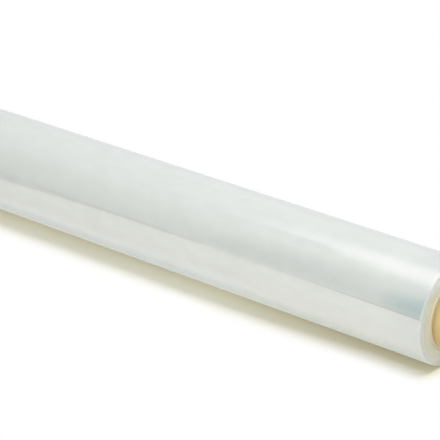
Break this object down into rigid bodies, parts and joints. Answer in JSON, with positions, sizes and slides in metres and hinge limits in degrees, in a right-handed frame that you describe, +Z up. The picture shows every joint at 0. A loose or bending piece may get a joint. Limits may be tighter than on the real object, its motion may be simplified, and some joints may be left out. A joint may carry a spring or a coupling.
{
  "type": "stretch wrap roll",
  "caption": "Hand roll of clear stretch wrap film, wound tight on a cardboard core whose bore runs right through, lying on its side.",
  "frame": {"origin": "on the surface that the roll lies on, under the middle of the roll", "axes": "+X along the roll's axis, towards the end that the picture shows; +Z up; -Y is the roll's front, where the free end of the film lies"},
  "size_m": [0.502, 0.0782, 0.078],
  "materials": {
    "film": "gloss",
    "core": "matte"
  },
  "bodies": {
    "root": {"wound_film": "film", "card_core": "core"}
  },
  "joints": []
}
